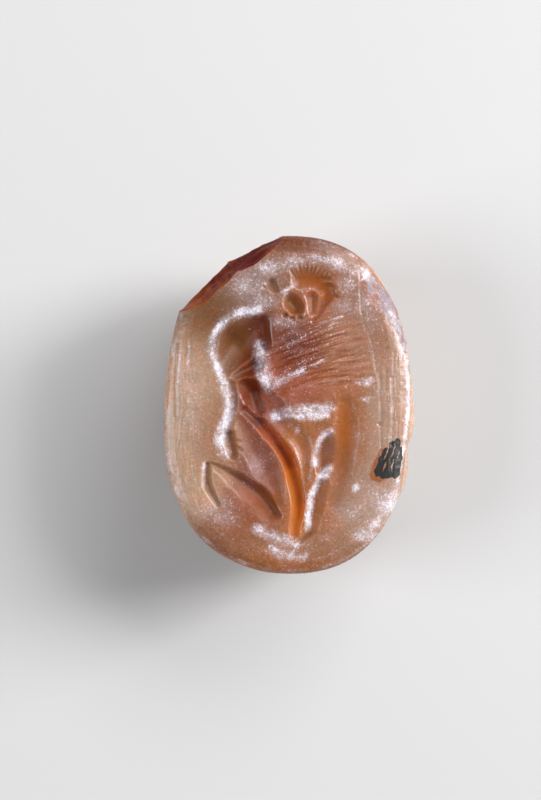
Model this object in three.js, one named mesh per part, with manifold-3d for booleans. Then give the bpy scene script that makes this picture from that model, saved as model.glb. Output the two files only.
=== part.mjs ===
// A scarab seal cut from one banded carnelian: a flat oval side engraved with a winged figure, and a
// beetle carved on the back. Millimetres, +Z up. It lies on the beetle's back with the engraving up,
// and the top of the figure and the beetle's head are towards +Y.
import * as THREE from 'three';
import { mergeVertices } from 'three/addons/utils/BufferGeometryUtils.js';
import Module from 'manifold-3d';

const wasm = await Module();
wasm.setup();

// Driving sizes of the stone
const HALF_WIDTH = 6.2;
const HALF_LENGTH = 8.5;
const FULLNESS = 2.41; // exponent of the oval: 2 is an ellipse, more is squarer
const HEIGHT = 8.6;
const SECTORS = 72; // points round the stone
const TURN = 2 * Math.PI;

// Where the hand-cut oval swells or falls in, in degrees round it and millimetres
const UNEVEN = [
  { at: 208, spread: 22, grow: 0.13 },
  { at: 252, spread: 10, grow: -0.1 },
  { at: 338, spread: 9, grow: -0.15 },
  { at: 152, spread: 20, grow: -0.1 },
];

// The side, from the flat face down: how far below the face, how far inside the oval, and how much of
// the narrowing towards the beetle's head, and the fuller tail, are felt
const HEAD_NARROW = 0.55;
const HEAD_SPREAD = 45;
const TAIL_AT = 272;
const TAIL_GROW = 0.45;
const TAIL_SPREAD = 17;
const SIDE = [
  { drop: 0, inset: 0.95, head: 0 },
  { drop: 0.09, inset: 0.55, head: 0 },
  { drop: 0.24, inset: 0.22, head: 0 },
  { drop: 0.5, inset: 0.02, head: 0 },
  { drop: 1.45, inset: 0.03, head: 0 },
  { drop: 1.75, inset: 0.35, head: 0.3 },
  { drop: 2.0, inset: 0.8, head: 0.4 },
  { drop: 3.0, inset: 0.8, head: 0.4 },
  { drop: 3.35, inset: 0.4, head: 1 },
  { drop: 3.75, inset: 0.2, head: 1 },
  { drop: 4.3, inset: 0.2, head: 1 },
];

// The beetle's domed back, below the last row of the side
const DOME_INSET = 0.2;
const DOME_TOP = HEIGHT - 4.3;
const CROWN_BELOW = 0.13; // the dome would reach this far below the worn flat that it rests on
const DOME_ROUND = 2.15;
const CROWN_BACK = 0.9; // the highest part of the back lies this far behind the middle
const DOME_ROWS = [0.985, 0.945, 0.87, 0.77, 0.65, 0.52, 0.38, 0.2];

// The hole through the length of the stone, for a swivel wire or a cord
const BORE_RADIUS = 0.85;
const BORE_Z = 4.75;
const BORE_SIDES = 18;

const rad = THREE.MathUtils.degToRad;

// A smooth bump of height 1 at zero; both angles are in degrees
function bell(away, spread) {
  const short = ((away + 540) % 360) - 180;
  return Math.exp(-((short / spread) ** 2));
}

// Distance from the middle of the stone to its oval edge
function edgeAt(angle) {
  const across = Math.abs(Math.cos(angle)) / HALF_WIDTH;
  const along = Math.abs(Math.sin(angle)) / HALF_LENGTH;
  const oval = (across ** FULLNESS + along ** FULLNESS) ** (-1 / FULLNESS);
  const degrees = THREE.MathUtils.radToDeg(angle);
  return UNEVEN.reduce((r, b) => r + b.grow * bell(degrees - b.at, b.spread), oval);
}

// How far the beetle's body draws in towards its head, less how far its tail stands out
function narrowing(angle) {
  const degrees = THREE.MathUtils.radToDeg(angle);
  return HEAD_NARROW * bell(degrees - 90, HEAD_SPREAD) - TAIL_GROW * bell(degrees - TAIL_AT, TAIL_SPREAD);
}

function rimOfBack(angle) {
  return edgeAt(angle) - DOME_INSET - narrowing(angle);
}

function polar(angle, radius, z) {
  return new THREE.Vector3(radius * Math.cos(angle), radius * Math.sin(angle), z);
}

// A closed mesh from shared points and triangles, as a solid that faces out
function solid(points, faces) {
  const vertProperties = new Float32Array(points.flatMap((p) => [p.x, p.y, p.z]));
  const make = (tris) => new wasm.Manifold(new wasm.Mesh({ numProp: 3, vertProperties, triVerts: tris }));
  const made = make(new Uint32Array(faces));
  return made.volume() > 0 ? made : make(new Uint32Array(faces.toReversed()));
}

// A skin through rings that all have the same number of points, closed at both ends by a fan
function skin(rings) {
  const count = rings[0].length;
  const middle = (ring) => ring.reduce((sum, p) => sum.add(p), new THREE.Vector3()).divideScalar(count);
  const points = [middle(rings[0]), ...rings.flat(), middle(rings.at(-1))];
  const at = (ring, k) => 1 + ring * count + (k % count);
  const last = rings.length - 1;
  const faces = [];
  for (let k = 0; k < count; k++) {
    faces.push(0, at(0, k + 1), at(0, k));
    faces.push(points.length - 1, at(last, k), at(last, k + 1));
    for (let r = 0; r < last; r++) {
      faces.push(at(r, k), at(r, k + 1), at(r + 1, k + 1));
      faces.push(at(r, k), at(r + 1, k + 1), at(r + 1, k));
    }
  }
  return solid(points, faces);
}

// A three.js geometry as a solid
function solidOf(geometry) {
  geometry.deleteAttribute('normal');
  geometry.deleteAttribute('uv');
  const merged = mergeVertices(geometry, 1e-4);
  const position = merged.getAttribute('position');
  const points = Array.from({ length: position.count }, (_, i) =>
    new THREE.Vector3().fromBufferAttribute(position, i));
  const corners = [...merged.index.array];
  const faces = [];
  for (let i = 0; i < corners.length; i += 3) {
    const [a, b, c] = corners.slice(i, i + 3);
    if (a !== b && b !== c && c !== a) faces.push(a, b, c);
  }
  return solid(points, faces);
}

// The value of a short list of numbers, spread evenly over 0 to 1, at t
function along(list, t) {
  const place = t * (list.length - 1);
  const k = Math.min(Math.floor(place), list.length - 2);
  return THREE.MathUtils.lerp(list[k], list[k + 1], place - k);
}

// The height of the beetle's back at a place, from the underside up
function backAt(x, y) {
  const angle = Math.atan2(y, x);
  const rim = rimOfBack(angle);
  const near = Math.min(1, Math.hypot(x, y) / rim);
  const shifted = y + CROWN_BACK * (1 - near * near);
  const reach = rimOfBack(Math.atan2(shifted, x));
  const share = Math.min(1, Math.hypot(x, shifted) / reach);
  return DOME_TOP - (DOME_TOP + CROWN_BELOW) * (1 - share ** DOME_ROUND) ** (1 / DOME_ROUND);
}

function stoneBody() {
  const angles = Array.from({ length: SECTORS }, (_, k) => (TURN * k) / SECTORS);
  const side = SIDE.map(({ drop, inset, head }) =>
    angles.map((a) => polar(a, edgeAt(a) - inset - head * narrowing(a), HEIGHT - drop)));
  const dome = DOME_ROWS.map((share) => angles.map((a) => {
    const p = polar(a, rimOfBack(a) * share, 0);
    return p.setZ(backAt(p.x, p.y));
  }));
  return skin([...side, ...dome]);
}

// The small flat that the stone rests on: everything below the floor plane comes off
function belowFloor() {
  return solidOf(new THREE.BoxGeometry(30, 30, 4).translate(0, 0, -2));
}

function bore() {
  const rod = new THREE.CylinderGeometry(BORE_RADIUS, BORE_RADIUS, 30, BORE_SIDES);
  return solidOf(rod.translate(0, 0, BORE_Z));
}

// One cut of the engraver's wheel in the flat face. The path is in the engraving's own x and y. half is its
// half width, depth how deep it goes, both along the path, and lean moves the deepest line towards the
// left (above 0) or right of the way the path runs.
const CUT_ACROSS = [-1, -0.7, -0.3, 0.3, 0.7, 1];
const CUT_ROUND = 2.2;
const CUT_ABOVE = 0.3;
const FIGURE_DOWN = 0.13; // the engraving's middle lies this far below the middle of the stone
const END_ANGLES = [72, 38];
function cut({ path, half, depth, lean = 0, steps = 2, ends = END_ANGLES }) {
  const points = path.map(([x, y]) => new THREE.Vector3(x, y - FIGURE_DOWN, 0));
  const curve = new THREE.CatmullRomCurve3(points, false, 'centripetal');
  const count = steps * (path.length - 1);
  const ring = (t, past, shrink) => {
    const tangent = curve.getTangent(t);
    const w = along(half, t) * shrink;
    const d = along(depth, t) * shrink * shrink;
    const centre = curve.getPoint(t).addScaledVector(tangent, past);
    const place = (u, z) => new THREE.Vector3(
      centre.x - tangent.y * u * w, centre.y + tangent.x * u * w, HEIGHT + z);
    const bottom = CUT_ACROSS.map((u) => {
      const leant = (u - lean) / (1 - lean * u);
      return place(u, -d * (1 - Math.abs(leant) ** CUT_ROUND));
    });
    return [...bottom, place(1, CUT_ABOVE), place(-1, CUT_ABOVE)];
  };
  const end = (t, way) => ends.map((a) =>
    ring(t, way * along(half, t) * Math.sin(rad(a)), Math.cos(rad(a))));
  const middle = Array.from({ length: count + 1 }, (_, k) => ring(k / count, 0, 1));
  return skin([...end(0, -1), ...middle, ...end(1, 1).toReversed()]);
}

// A round pit, as a short cut
function pit(x, y, radius, depth) {
  const path = [[x - 0.05, y], [x + 0.05, y]];
  return cut({ path, half: [radius, radius], depth: [depth, depth], steps: 1 });
}

// The winged figure: it faces left with its head bowed, and stands on long bent legs
const TORSO = [
  { path: [[-1.75, 3.95], [-2.35, 3.1], [-3.0, 2.15]], half: [0.75, 1.15, 0.6], depth: [0.5, 0.9, 0.4] },
  { path: [[-1.35, 4.15], [-1.15, 3.1]], half: [0.45, 0.4], depth: [0.5, 0.7] },
  { path: [[-2.6, 1.6], [-1.72, 2.25]], half: [0.28, 0.56], depth: [0.35, 0.85], lean: -0.2 },
  { path: [[-2.25, 1.0], [-1.8, 0.85], [-1.6, 0.2]], half: [0.4, 0.62, 0.5], depth: [0.4, 0.75, 0.5] },
  { path: [[0.1, 3.2], [-0.3, 2.2], [-0.5, 1.0]],
    half: [0.5, 0.75, 0.6], depth: [0.1, 0.18, 0.2], ends: [50] },
];
const ARM = [
  { path: [[-2.8, 1.2], [-2.75, 0.1], [-2.95, -0.95]], half: [0.26, 0.22, 0.26], depth: [0.3, 0.35, 0.35] },
  { path: [[-2.95, -1.35], [-2.75, -2.3]], half: [0.42, 0.34], depth: [0.5, 0.35] },
];
const LEGS_CUT = [
  { path: [[-2.1, -0.15], [-1.25, -0.95], [-0.37, -2.0], [0.23, -3.25], [0.5, -4.75], [0.33, -6.3]],
    half: [0.3, 0.42, 0.42, 0.4, 0.35, 0.28], depth: [0.35, 0.7, 0.75, 0.7, 0.6, 0.35] },
  { path: [[-2.25, -0.65], [-1.35, -1.85], [-0.6, -3.1], [-0.1, -4.5]],
    half: [0.22, 0.5, 0.5, 0.28], depth: [0.15, 0.36, 0.36, 0.15] },
  { path: [[-3.85, -2.9], [-2.8, -3.7], [-1.65, -4.7], [-0.95, -5.4]],
    half: [0.13, 0.4, 0.62, 0.48], depth: [0.15, 0.36, 0.52, 0.45], lean: 0.35 },
  { path: [[-4.0, -2.9], [-4.0, -3.85], [-3.45, -4.85]],
    half: [0.2, 0.28, 0.15], depth: [0.25, 0.36, 0.16] },
  { path: [[2.1, -1.5], [1.93, -2.25], [1.75, -3.05]], half: [0.36, 0.64, 0.45], depth: [0.3, 0.6, 0.4] },
  { path: [[1.75, -3.8], [1.48, -4.75], [1.2, -6.1]], half: [0.36, 0.46, 0.26], depth: [0.36, 0.5, 0.25] },
  { path: [[1.1, -6.3], [0.6, -6.75]], half: [0.2, 0.16], depth: [0.25, 0.18], steps: 1 },
];

// A bowed head of simple make: a round face, an ear, even steps for nose, lips and chin, and locks
const HEAD = { x: 0.88, y: 5.4 };
const FACE_RADIUS = 0.58;
function head() {
  const face = { x: HEAD.x - FACE_RADIUS, y: HEAD.y - FACE_RADIUS / 2 };
  const features = [-135, -100, -65].map((a) => {
    const out = FACE_RADIUS * 1.22;
    return pit(face.x + out * Math.cos(rad(a)), face.y + out * Math.sin(rad(a)), FACE_RADIUS * 0.3, 0.22);
  });
  const ear = cut({ path: [[HEAD.x + 0.3, HEAD.y - 0.15], [HEAD.x + 0.38, HEAD.y - 0.7]],
    half: [0.36, 0.3], depth: [0.34, 0.3], steps: 1 });
  return [pit(face.x, face.y, FACE_RADIUS, 0.48), ear, ...features];
}

const LOCKS = 8;
const LOCK_FIRST = 120;
const LOCK_STEP = -17;
const LOCKS_REACH = [1.0, 1.6];
const LOCKS_MIDDLE = [1.0, 5.5];
function hair() {
  const middle = [[0.85, 6.1], [1.75, 5.85]];
  const mass = cut({ path: middle, half: [0.72, 0.6], depth: [0.3, 0.28], steps: 1, ends: [50] });
  const locks = Array.from({ length: LOCKS }, (_, k) => {
    const a = rad(LOCK_FIRST + k * LOCK_STEP);
    const spot = (r) => [LOCKS_MIDDLE[0] + r * Math.cos(a), LOCKS_MIDDLE[1] + r * Math.sin(a)];
    const path = LOCKS_REACH.map(spot);
    return cut({ path, half: [0.14, 0.18], depth: [0.34, 0.12], steps: 1, ends: [50] });
  });
  const fringe = [[-0.2, 6.65], [-0.15, 6.15], [0.08, 5.75]];
  const nape = [[2.15, 5.75], [1.85, 5.1], [1.35, 4.3]];
  return [
    mass,
    ...locks,
    cut({ path: fringe, half: [0.14, 0.15, 0.1], depth: [0.2, 0.25, 0.15] }),
    cut({ path: nape, half: [0.26, 0.24, 0.14], depth: [0.26, 0.26, 0.15] }),
  ];
}

// A raised hand in front of the face: a palm and a row of finger tips
const PALM = { x: -0.7, y: 5.9, radius: 0.34 };
function raisedHand() {
  const tips = [95, 130, 165, 200].map((a) =>
    pit(PALM.x + PALM.radius * Math.cos(rad(a)), PALM.y + PALM.radius * Math.sin(rad(a)), 0.14, 0.16));
  return [pit(PALM.x, PALM.y, PALM.radius, 0.3), ...tips];
}

// The wing: feathers that fan out from the shoulder, each a long shallow cut
const FEATHERS = 10;
const WING_ROOT = [[0.1, 2.75], [-0.7, 0.45]];
const WING_TIP = [[3.6, 4.5], [4.35, 1.2]];
const WING_RISE = 0.4; // how far a feather bows up from a straight line
function wing() {
  const between = ([a, b], t) => [THREE.MathUtils.lerp(a[0], b[0], t), THREE.MathUtils.lerp(a[1], b[1], t)];
  return Array.from({ length: FEATHERS }, (_, k) => {
    const t = k / (FEATHERS - 1);
    const root = between(WING_ROOT, t);
    const tip = between(WING_TIP, t);
    const bow = [(root[0] + tip[0]) / 2, (root[1] + tip[1]) / 2 + WING_RISE];
    const path = [root, bow, tip];
    return cut({ path, half: [0.13, 0.19, 0.17], depth: [0.16, 0.15, 0.1], steps: 1, ends: [50] });
  });
}

function engraving() {
  const strokes = [...TORSO, ...ARM, ...LEGS_CUT].map(cut);
  const all = [...strokes, ...head(), ...hair(), ...raisedHand(), ...wing()];
  return all.reduce((sum, piece) => sum.add(piece));
}

// A flake knocked off the rim: a slanting wall that faces a plan angle. At the face it stands distance
// less flare from the middle, and it slopes out to distance over the depth run. shift is how far along
// the wall the flake's own middle lies, hollow how far its wall is dished, and taper the end of the wall
// (-1 or 1) where the slope dies out.
const FLAKE_DOWN = [-0.5, 0, 0.4, 0.85];
function flake({ angle, distance, flare, run, drop, shift, halfLength, hollow, taper }) {
  const out = rad(angle);
  const ring = (t) => {
    const side = shift + t * halfLength;
    const dish = hollow * (1 - t * t);
    const slope = flare * (1 - Math.max(0, t * taper) ** 1.5);
    const place = (r, down) => new THREE.Vector3(
      r * Math.cos(out) - side * Math.sin(out), r * Math.sin(out) + side * Math.cos(out), HEIGHT - down);
    const wall = (d) => place(distance - dish - slope * Math.max(0, 1 - Math.max(d, 0) / run), d);
    return [...FLAKE_DOWN.map(wall), wall(run), wall(drop), place(13, drop), place(13, FLAKE_DOWN[0])];
  };
  return skin([-1, -0.6, -0.2, 0.2, 0.6, 1].map(ring));
}
const FLAKES = [
  { angle: 115.4, distance: 7.82, flare: 0.7, run: 1.3, drop: 3.0,
    shift: -1.65, halfLength: 1.95, hollow: 0, taper: -1 },
  { angle: 135.8, distance: 7.2, flare: 0.65, run: 1.3, drop: 3.0,
    shift: -1.25, halfLength: 1.8, hollow: 0.03, taper: 1 },
  { angle: 37.5, distance: 7.5, flare: 0.84, run: 1.25, drop: 1.3,
    shift: 1.3, halfLength: 1.35, hollow: 0.03, taper: 0 },
  { angle: 22, distance: 6.9, flare: 0.55, run: 1.25, drop: 1.3,
    shift: 1.15, halfLength: 1.0, hollow: 0, taper: 0 },
];

// A scoop out of the rim at the upper right
function scoop() {
  const ball = new THREE.SphereGeometry(1.35, 12, 8);
  return solidOf(ball.translate(5.05, 6.75, HEIGHT + 0.25));
}

// A tube of changing radius through points of the surface, as a raised limb
const LIMB_SIDES = 6;
function limb(points, radii) {
  const curve = new THREE.CatmullRomCurve3(points, false, 'centripetal');
  const count = 3 * (points.length - 1);
  const ring = (t, past, shrink) => {
    const tangent = curve.getTangent(t);
    const across = new THREE.Vector3(0, 0, 1).cross(tangent).normalize();
    const up = tangent.clone().cross(across);
    const centre = curve.getPoint(t).addScaledVector(tangent, past);
    return Array.from({ length: LIMB_SIDES }, (_, k) => {
      const a = (TURN * k) / LIMB_SIDES;
      return centre.clone()
        .addScaledVector(across, along(radii, t) * shrink * Math.cos(a))
        .addScaledVector(up, along(radii, t) * shrink * Math.sin(a));
    });
  };
  const middle = Array.from({ length: count + 1 }, (_, k) => ring(k / count, 0, 1));
  return skin([ring(0, -0.8 * radii[0], 0.5), ...middle, ring(1, 0.8 * radii.at(-1), 0.5)]);
}

// Six legs folded against the sides, each by its places round the stone, in degrees from +X, and below
// the face. proud moves a leg out past the rim.
const BEETLE_LEGS = [
  { at: [42, 30, 44, 62], drop: [3.35, 2.75, 2.2, 2.45], radii: [0.5, 0.5, 0.42, 0.34] },
  { at: [14, -8, -22], drop: [3.3, 2.6, 2.25], radii: [0.46, 0.5, 0.36] },
  { at: [-22, -36, -60, -74], drop: [3.3, 2.7, 2.25, 2.5], radii: [0.46, 0.5, 0.42, 0.32] },
];
const LEG_INSET = 0.42;
const RIGHT_PROUD = 0.22; // the legs stand out further at the middle of the stone's right side
function beetleLegs() {
  const side = (mirror, proud) => BEETLE_LEGS.map(({ at, drop, radii }) => {
    const points = at.map((degrees, k) => {
      const angle = rad(mirror ? 180 - degrees : degrees);
      const inset = LEG_INSET + Math.max(narrowing(angle), 0) - proud * Math.cos(angle) ** 2;
      return polar(angle, edgeAt(angle) - inset, HEIGHT - drop[k]);
    });
    return limb(points, radii);
  });
  return [...side(false, RIGHT_PROUD), ...side(true, 0)];
}

// A line cut into the beetle's back, through places in x and y
function backLine(path, half, depth) {
  const lift = 0.25;
  const points = path.map(([x, y]) => new THREE.Vector3(x, y, Math.max(backAt(x, y), 0)));
  const rings = points.map((p, k) => {
    const before = points[Math.max(k - 1, 0)];
    const after = points[Math.min(k + 1, points.length - 1)];
    const tangent = after.clone().sub(before).normalize();
    const step = 0.05;
    const slopeX = (backAt(p.x + step, p.y) - backAt(p.x - step, p.y)) / (2 * step);
    const slopeY = (backAt(p.x, p.y + step) - backAt(p.x, p.y - step)) / (2 * step);
    const inward = new THREE.Vector3(-slopeX, -slopeY, 1).normalize();
    const across = inward.clone().cross(tangent).normalize();
    return [
      p.clone().addScaledVector(across, half).addScaledVector(inward, -lift),
      p.clone().addScaledVector(across, half * 0.9),
      p.clone().addScaledVector(inward, depth),
      p.clone().addScaledVector(across, -half * 0.9),
      p.clone().addScaledVector(across, -half).addScaledVector(inward, -lift),
    ];
  });
  return skin(rings);
}

function span(from, to, count) {
  return Array.from({ length: count }, (_, k) => from + ((to - from) * k) / (count - 1));
}

// The lines that part the beetle's wing cases, thorax and head
const THORAX_Y = 2.1;
const HEAD_Y = 5.3;
function backLines() {
  const suture = span(-7.6, THORAX_Y, 10).map((y) => [0, y]);
  const thorax = span(-5.5, 5.5, 13).map((x) => [x, THORAX_Y + 0.045 * x * x * (1 - 0.02 * x * x)]);
  const neck = span(-3.6, 3.6, 9).map((x) => [x, HEAD_Y + 0.1 * x * x * (1 - 0.045 * x * x)]);
  const shoulders = [-1, 1].map((way) => [[2.4 * way, 1.95], [2.9 * way, 1.2], [3.5 * way, 2.05]]);
  const snout = [-1, 1].map((way) => [[2.0 * way, 5.8], [1.5 * way, 6.7], [1.2 * way, 7.6]]);
  return [
    backLine(suture, 0.14, 0.16),
    backLine(thorax, 0.2, 0.22),
    backLine(neck, 0.2, 0.24),
    ...shoulders.map((path) => backLine(path, 0.14, 0.14)),
    ...snout.map((path) => backLine(path, 0.22, 0.3)),
  ];
}

function scarabStone() {
  const legs = beetleLegs().reduce((sum, leg) => sum.add(leg), stoneBody());
  const cuts = [belowFloor(), bore(), scoop(), engraving(), ...FLAKES.map(flake), ...backLines()];
  return cuts.reduce((stone, cutter) => stone.subtract(cutter), legs);
}

// A solid as three.js geometry, with its box's middle over the origin
function geometryOf(made) {
  const mesh = made.getMesh();
  const flat = new Float32Array(mesh.numVert * 3);
  for (let i = 0; i < mesh.numVert; i++) {
    flat.set(mesh.vertProperties.subarray(i * mesh.numProp, i * mesh.numProp + 3), i * 3);
  }
  const geometry = new THREE.BufferGeometry();
  geometry.setAttribute('position', new THREE.BufferAttribute(flat, 3));
  geometry.setIndex(new THREE.BufferAttribute(mesh.triVerts, 1));
  geometry.computeBoundingBox();
  const middle = geometry.boundingBox.getCenter(new THREE.Vector3());
  geometry.translate(-middle.x, -middle.y, 0);
  geometry.computeVertexNormals();
  return geometry;
}

const carnelian = new THREE.MeshStandardMaterial({ color: 0xa8714e, roughness: 0.35, metalness: 0 });
const stone = new THREE.Mesh(geometryOf(scarabStone()), carnelian);
stone.name = 'scarab_stone';

const scarabSeal = new THREE.Group();
scarabSeal.add(stone);
export default scarabSeal;
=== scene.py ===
# Looks for the scarab seal: a worn, chipped carnelian with a winged figure cut into its flat side.
# The stone's shape is worked out in millimetres from the middle of the flat face, +Z out of it and +Y
# towards the top of the figure, and turned into metres in the row's frame at the end.
import math

import bmesh
import bpy
import numpy as np
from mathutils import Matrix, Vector


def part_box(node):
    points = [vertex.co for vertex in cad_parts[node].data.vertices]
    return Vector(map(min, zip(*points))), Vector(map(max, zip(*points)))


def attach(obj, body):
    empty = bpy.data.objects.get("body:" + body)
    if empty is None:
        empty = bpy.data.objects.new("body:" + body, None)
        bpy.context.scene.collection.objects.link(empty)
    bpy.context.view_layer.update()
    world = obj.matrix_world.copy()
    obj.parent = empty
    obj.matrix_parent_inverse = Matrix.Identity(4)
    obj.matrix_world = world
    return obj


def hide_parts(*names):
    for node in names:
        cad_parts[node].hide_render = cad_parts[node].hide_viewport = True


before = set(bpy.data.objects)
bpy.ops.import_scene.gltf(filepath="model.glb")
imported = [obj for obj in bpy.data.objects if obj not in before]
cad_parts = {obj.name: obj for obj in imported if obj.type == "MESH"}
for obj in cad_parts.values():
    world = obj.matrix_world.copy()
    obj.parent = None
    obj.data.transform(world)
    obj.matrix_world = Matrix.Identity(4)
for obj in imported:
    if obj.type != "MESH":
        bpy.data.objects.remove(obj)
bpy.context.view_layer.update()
NODE = "scarab_stone"
MM = 0.001
rng = np.random.default_rng(11)

# The stone
HALF_WIDTH = 6.2
HALF_LENGTH = 8.5
FULLNESS = 2.41
HEIGHT = 8.6
UNEVEN = [
    dict(at=208, spread=22, grow=0.13),
    dict(at=252, spread=10, grow=-0.10),
    dict(at=338, spread=9, grow=-0.15),
    dict(at=152, spread=20, grow=-0.10),
]
BEVEL_INSET = [0.02, 0.22, 0.55, 0.95]
BEVEL_DROP = [0.50, 0.24, 0.09, 0.0]
SIDE_DROP = [0.5, 1.45, 1.75, 2.0, 3.0, 3.35, 3.75, 4.3]
SIDE_INSET = [0.02, 0.03, 0.35, 0.8, 0.8, 0.4, 0.2, 0.2]
SIDE_HEAD = [0.0, 0.0, 0.3, 0.4, 0.4, 1.0, 1.0, 1.0]
HEAD_NARROW = 0.55
HEAD_SPREAD = 45
TAIL_AT = 272
TAIL_GROW = 0.45
TAIL_SPREAD = 17
DOME_INSET = 0.2
DOME_TOP = HEIGHT - 4.3
CROWN_BELOW = 0.13
DOME_ROUND = 2.15
CROWN_BACK = 0.9
FIGURE_DOWN = 0.13
BORE_RADIUS = 0.85
BORE_Z = 4.75

# How fine the mesh is
FACE_CELLS = 250
BACK_CELLS = FACE_CELLS // 2
SECTORS = 4 * BACK_CELLS
SIDE_ROWS = 22


def bell(away, spread):
    short = (away + 540) % 360 - 180
    return np.exp(-((short / spread) ** 2))


def edge_at(angle):
    """Distance from the middle of the stone to its oval edge."""
    across = np.abs(np.cos(angle)) / HALF_WIDTH
    along = np.abs(np.sin(angle)) / HALF_LENGTH
    oval = (across**FULLNESS + along**FULLNESS) ** (-1 / FULLNESS)
    degrees = np.degrees(angle)
    return oval + sum(b["grow"] * bell(degrees - b["at"], b["spread"]) for b in UNEVEN)


def narrowing(angle):
    """How far the beetle's body draws in towards its head, less how far its tail stands out."""
    degrees = np.degrees(angle)
    return HEAD_NARROW * bell(degrees - 90, HEAD_SPREAD) - TAIL_GROW * bell(degrees - TAIL_AT, TAIL_SPREAD)


def rim_of_back(angle):
    return edge_at(angle) - DOME_INSET - narrowing(angle)


def noise(x, y, size, seed):
    """Smooth noise from -1 to 1 with features about size across."""
    lattice = np.random.default_rng(seed).uniform(-1, 1, (256, 256))
    u = np.asarray(x) / size + 97.3
    v = np.asarray(y) / size + 61.7
    i = np.floor(u).astype(int)
    j = np.floor(v).astype(int)
    fu = u - i
    fv = v - j
    fu = fu * fu * (3 - 2 * fu)
    fv = fv * fv * (3 - 2 * fv)
    corner = lambda a, b: lattice[(i + a) % 256, (j + b) % 256]
    low = corner(0, 0) * (1 - fu) + corner(1, 0) * fu
    high = corner(0, 1) * (1 - fu) + corner(1, 1) * fu
    return low * (1 - fv) + high * fv


def curve(points, per_span=8):
    """A smooth line through the points."""
    p = np.array(points, float)
    p = np.vstack([2 * p[0] - p[1], p, 2 * p[-1] - p[-2]])
    out = []
    for k in range(1, len(p) - 2):
        t = np.linspace(0, 1, per_span, endpoint=False)[:, None]
        a, b, c, d = p[k - 1], p[k], p[k + 1], p[k + 2]
        out.append(b + 0.5 * t * (c - a + t * (2 * a - 5 * b + 4 * c - d + t * (3 * (b - c) + d - a))))
    return np.vstack(out + [p[-2:-1]])


def sweep(x, y, stroke):
    """How deep one stroke of the engraver's wheel goes at each place."""
    line = curve(stroke["path"], stroke.get("per_span", 8))
    share = np.linspace(0, 1, len(line))
    half = np.interp(share, np.linspace(0, 1, len(stroke["half"])), stroke["half"])
    deep = np.interp(share, np.linspace(0, 1, len(stroke["depth"])), stroke["depth"])
    lean = stroke.get("lean", 0.0)
    power = stroke.get("round", 2.2)
    soft = stroke.get("soft", 1.15)
    reach = half.max() + 0.02
    out = np.zeros_like(x)
    near = (
        (x > line[:, 0].min() - reach)
        & (x < line[:, 0].max() + reach)
        & (y > line[:, 1].min() - reach)
        & (y < line[:, 1].max() + reach)
    )
    px = x[near]
    py = y[near]
    best = np.zeros_like(px)
    for k in range(len(line) - 1):
        (ax, ay), (bx, by) = line[k], line[k + 1]
        length = math.hypot(bx - ax, by - ay) + 1e-9
        tx = (bx - ax) / length
        ty = (by - ay) / length
        t = np.clip(((px - ax) * tx + (py - ay) * ty) / length, 0, 1)
        w = half[k] + (half[k + 1] - half[k]) * t
        d = deep[k] + (deep[k + 1] - deep[k]) * t
        dx = (px - ax - (bx - ax) * t) / w
        dy = (py - ay - (by - ay) * t) / w
        side = np.clip(dy * tx - dx * ty, -1.5, 1.5)
        ahead = dx * tx + dy * ty
        side = (side - lean) / (1 - lean * side)
        away = side**2 + ahead**2
        best = np.maximum(best, d * (1 - np.minimum(away, 1) ** (power / 2)) ** soft)
    out[near] = best
    return out


def stroke(path, half, depth, **more):
    half = half if isinstance(half, list) else [half, half]
    depth = depth if isinstance(depth, list) else [depth, depth]
    return dict(path=path, half=half, depth=depth, **more)


# The winged figure, in profile to the left with its head bowed
TORSO = [
    stroke([(-1.75, 3.95), (-2.35, 3.1), (-3.0, 2.15)], [0.8, 1.15, 0.65], [0.55, 0.9, 0.4]),
    stroke([(-1.4, 4.15), (-1.25, 3.15)], [0.66, 0.52], [0.42, 0.62], soft=2.4),
    stroke([(-2.6, 1.65), (-1.72, 2.25)], [0.32, 0.62], [0.3, 0.74], lean=-0.2, soft=1.6),
    stroke([(-2.15, 1.15), (-1.75, 0.75), (-1.5, 0.0)], [0.5, 0.72, 0.66], [0.34, 0.62, 0.5], soft=1.8),
    stroke([(0.1, 3.2), (-0.3, 2.2), (-0.5, 1.0)], [0.6, 0.8, 0.7], [0.1, 0.16, 0.18], soft=2),
    stroke([(-1.1, 0.6), (-0.6, -0.3), (0.1, -1.2)], [0.8, 0.85, 0.6], [0.4, 0.32, 0.15], soft=2),
]
ARM = [
    stroke([(-2.8, 1.2), (-2.75, 0.1), (-2.95, -0.95)], [0.3, 0.28, 0.32], [0.2, 0.2, 0.22], soft=2),
    stroke([(-2.95, -1.35), (-2.75, -2.3)], [0.42, 0.34], [0.46, 0.35], soft=1.4),
    stroke([(-2.6, -1.6), (-2.2, -1.75)], 0.14, 0.12, soft=1.6),
    stroke([(-2.6, -1.95), (-2.25, -2.15)], 0.13, 0.12, soft=1.6),
]
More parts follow.
